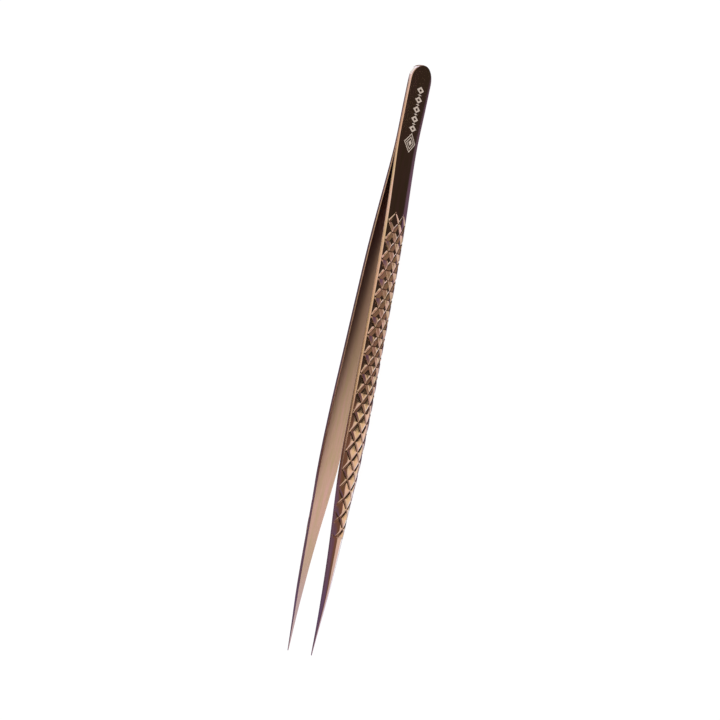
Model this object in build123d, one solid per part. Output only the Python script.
from build123d import *
import os

# Straight fine-point tongs: two mirrored spring arms, spot-welded together at the tail.
#
# The tongs lie on their long edges, as they rest on a bench. X runs along them, with the
# tail at +X and the points at -X. The arms open along Y, and Z is up, across their width.
# The origin is the middle of the bounding box, on the surface that the tongs lie on.
# Everything is in millimetres. Stations along an arm are counted from the tail end.

# Whole tongs
LENGTH = 140.0
WIDTH = 7.2
TAIL_WIDTH = 7.8
MID_HEIGHT = TAIL_WIDTH / 2

# Zones along an arm
TAIL_END = 10.0
NECK_END = 28.0
WELD_END = 20.5
GRIP_END = 112.0
TAPER_START = 86.0

# Lay-out of an arm: station, offset of the inner face from the middle plane, thickness on the
# centreline, thickness left at the edges below the domed outer face, and half the width there.
# The rows are evenly spaced and run one step past each end of the arm, to keep the loft calm.
HANDLE_STATIONS = [
    (-14.0, 0.00, 0.86, 0.48, 3.9),
    (0.0, 0.00, 0.86, 0.48, 3.9),
    (14.0, 0.00, 0.92, 0.50, 3.85),
    (28.0, 0.44, 1.27, 0.72, 3.6),
    (42.0, 1.36, 1.66, 0.78, 3.6),
    (56.0, 1.90, 1.76, 0.74, 3.6),
    (70.0, 2.26, 1.82, 0.74, 3.6),
    (84.0, 2.60, 1.90, 0.76, 3.6),
    (98.0, 2.82, 1.98, 0.70, 3.28),
    (GRIP_END, 3.23, 1.90, 0.62, 1.98),
    (GRIP_END + 14.0, 3.45, 1.60, 0.58, 0.9),
]
POINT_STATIONS = [
    (GRIP_END, 3.23, 1.68, 0.62, 1.98),
    (119.0, 3.38, 1.46, 0.70, 1.38),
    (126.0, 3.45, 1.20, 0.62, 0.88),
    (133.0, 3.46, 0.68, 0.42, 0.42),
    (LENGTH, 3.46, 0.20, 0.14, 0.12),
    (LENGTH + 7.0, 3.46, -0.28, -0.30, 0.06),
]

# Plan of an arm where it narrows to its point: station and width
TAPER_STATIONS = [
    (TAPER_START, WIDTH), (98.0, 6.56), (105.0, 5.3), (GRIP_END, 3.96),
    (119.0, 2.76), (126.0, 1.76), (133.0, 0.84), (LENGTH, 0.2),
]
POINT_SLOPE = 0.04

# Diamond grip: V grooves that cross on the domed outer face
DIAMOND_LENGTH = 4.5
DIAMOND_WIDTH = 3.0
FIRST_CROSSING = 38.0
CROSSINGS = 17
GROOVE_DEPTH = 0.30
GROOVE_HALF_WIDTH = 0.42
GROOVE_RUN_OUT = 0.22

# Flexing root of an arm: a round seat that stands for the bend of the steel
FLEX_AT = 26.0
FLEX_OFFSET = 0.75
SEAT_RADIUS = 1.5
SEAT_CLEARANCE = 0.03

# Spot welds between the two tails
WELD_STATIONS = (5.5, 11.0, 16.5)
WELD_RADIUS = 1.3
WELD_BITE = 0.3

# How far a cutting or trimming body reaches past the arm
MARGIN = 1.0
SPREAD = 1.2
REACH = 10.0


def x_at(station):
    """X of a station that is counted from the tail end."""
    return LENGTH / 2 - station


def domed_section(station, offset, thickness, edge_thickness, half_width):
    """Face across the arm, a little wider than it, with an arc for the domed outer side."""
    half = SPREAD * half_width
    crest = offset + thickness
    edge = crest - (thickness - edge_thickness) * SPREAD**2
    plane = Plane(origin=(x_at(station), 0, MID_HEIGHT), x_dir=(0, 1, 0), z_dir=(1, 0, 0))
    sides = Polyline((edge, half), (-MARGIN, half), (-MARGIN, -half), (edge, -half))
    dome = ThreePointArc((edge, -half), (crest, 0), (edge, half))
    return plane * make_face(sides + dome)


def domed_body(stations):
    """Solid under the domed outer face, along a run of stations."""
    return loft([domed_section(*row) for row in stations])


def bowed_body():
    """Solid bounded by the inner face of the arm: flat at the weld, then bowing outwards."""
    rows = [row for row in HANDLE_STATIONS if WELD_END < row[0] < GRIP_END] + POINT_STATIONS[:-1]
    inner = [(x_at(WELD_END), 0)] + [(x_at(station), offset) for station, offset, *_ in rows]
    bow = Spline(inner, tangents=[(-1, 0), (-1, 0)])
    tail = x_at(-MARGIN)
    surround = Polyline(inner[-1], (x_at(LENGTH), REACH), (tail, REACH), (tail, 0), inner[0])
    return extrude(make_face(bow + surround), TAIL_WIDTH)


def plan_body():
    """Solid with the outline of the arm as seen square to its outer face."""
    radius = TAIL_WIDTH / 2
    upper = [(x_at(station), width / 2) for station, width in TAPER_STATIONS]
    lower = [(x, -half) for x, half in upper]
    shoulder = x_at(radius)
    outline = (
        ThreePointArc((shoulder, radius), (x_at(0), 0), (shoulder, -radius))
        + Polyline((shoulder, -radius), (x_at(TAIL_END), -radius), (x_at(NECK_END), -WIDTH / 2), lower[0])
        + Spline(lower, tangents=[(-1, 0), (-1, POINT_SLOPE)])
        + Line(lower[-1], upper[-1])
        + Spline(upper, tangents=[(-1, 0), (-1, -POINT_SLOPE)])
        + Polyline(upper[0], (x_at(NECK_END), WIDTH / 2), (x_at(TAIL_END), radius), (shoulder, radius))
    )
    plane = Plane(origin=(0, 0, MID_HEIGHT), x_dir=(1, 0, 0), z_dir=(0, -1, 0))
    return extrude(plane * make_face(outline), REACH, both=True)


def half_width_at(station):
    """Half the width of the arm at a station, read off the straight lines between the plan's stations."""
    if station <= TAPER_START:
        return WIDTH / 2
    for (start, wide), (end, narrow) in zip(TAPER_STATIONS, TAPER_STATIONS[1:]):
        if station <= end:
            return (wide + (narrow - wide) * (station - start) / (end - start)) / 2
    return 0.0


def point_on(body, station, height, lift=0.0):
    """Point over the body's outer face at a station and a height from the arm's centreline."""
    ray = Axis((x_at(station), 0, MID_HEIGHT + height), (0, 1, 0))
    outermost = max((hit for hit, _ in body.find_intersection_points(ray)), key=lambda point: point.Y)
    return outermost + Vector(0, lift, 0)


def groove_ring(body, crossing, lean):
    """Ring of V section that follows the dome obliquely and gets shallower towards both edges.

    lean is +1 or -1 for the two families."""
    height = half_width_at(crossing)
    run = lean * height * DIAMOND_LENGTH / DIAMOND_WIDTH
    path = ThreePointArc(
        point_on(body, crossing - run, -height, GROOVE_RUN_OUT),
        point_on(body, crossing, 0),
        point_on(body, crossing + run, height, GROOVE_RUN_OUT),
    )
    outward = (path.position_at(0.5) - path.arc_center).normalized()
    section_plane = Plane(origin=path.position_at(0.5), x_dir=outward, z_dir=path.tangent_at(0.5))
    rise = 2 * GROOVE_DEPTH
    mouth = GROOVE_HALF_WIDTH * (rise + GROOVE_DEPTH) / GROOVE_DEPTH
    vee = make_face(Polyline((-GROOVE_DEPTH, 0), (rise, mouth), (rise, -mouth), close=True))
    return revolve(section_plane * vee, Axis(path.arc_center, path.normal()), 360)


def whole_arm():
    """One arm on the +Y side, in a single piece, with its diamond grip."""
    handle = domed_body(HANDLE_STATIONS)
    point = domed_body(POINT_STATIONS)
    outline = bowed_body() & plan_body()
    blank = (outline & handle & beyond_x(x_at(GRIP_END), Align.MIN)) + (outline & point)
    crossings = [FIRST_CROSSING + n * DIAMOND_LENGTH for n in range(CROSSINGS)]
    ridged = blank - [groove_ring(handle, crossing, 1) for crossing in crossings]
    return ridged - [groove_ring(handle, crossing, -1) for crossing in crossings]


def beyond_x(x, side):
    """Block that fills everything on one side of a plane across the tongs."""
    return Pos(x, 0, MID_HEIGHT) * Box(2 * LENGTH, LENGTH, LENGTH, align=(side, Align.CENTER, Align.CENTER))


def seat_cut(radius):
    """Everything on the point side of the arm's flexing root, ended by a round nose."""
    nose = Pos(x_at(FLEX_AT), FLEX_OFFSET, MID_HEIGHT) * Cylinder(radius, TAIL_WIDTH + 2 * MARGIN)
    return beyond_x(x_at(FLEX_AT), Align.MAX) + nose


def weld_nuggets():
    """The lens-like nuggets of fused steel that hold the two tails together."""
    across = Plane(origin=(0, 0, MID_HEIGHT), x_dir=(1, 0, 0), z_dir=(0, -1, 0))
    nugget = Cylinder(WELD_RADIUS, 2 * WELD_BITE)
    nugget = chamfer(nugget.edges().filter_by(GeomType.CIRCLE), WELD_BITE / 2)
    return [across * Pos(x_at(station), 0, 0) * nugget for station in WELD_STATIONS]


arm = whole_arm()
nuggets = weld_nuggets()
rear_blade = arm & seat_cut(SEAT_RADIUS)
rear_tail = arm - seat_cut(SEAT_RADIUS + SEAT_CLEARANCE) - nuggets

nodes = {
    "rear_arm_tail": rear_tail,
    "rear_arm_blade": rear_blade,
    "front_arm_tail": mirror(rear_tail, about=Plane.XZ),
    "front_arm_blade": mirror(rear_blade, about=Plane.XZ),
    "spot_welds": Compound(children=nuggets),
}

os.makedirs("parts", exist_ok=True)
for name, shape in nodes.items():
    export_step(shape, f"parts/{name}.step")
    print(name, round(shape.volume, 1), "mm3")
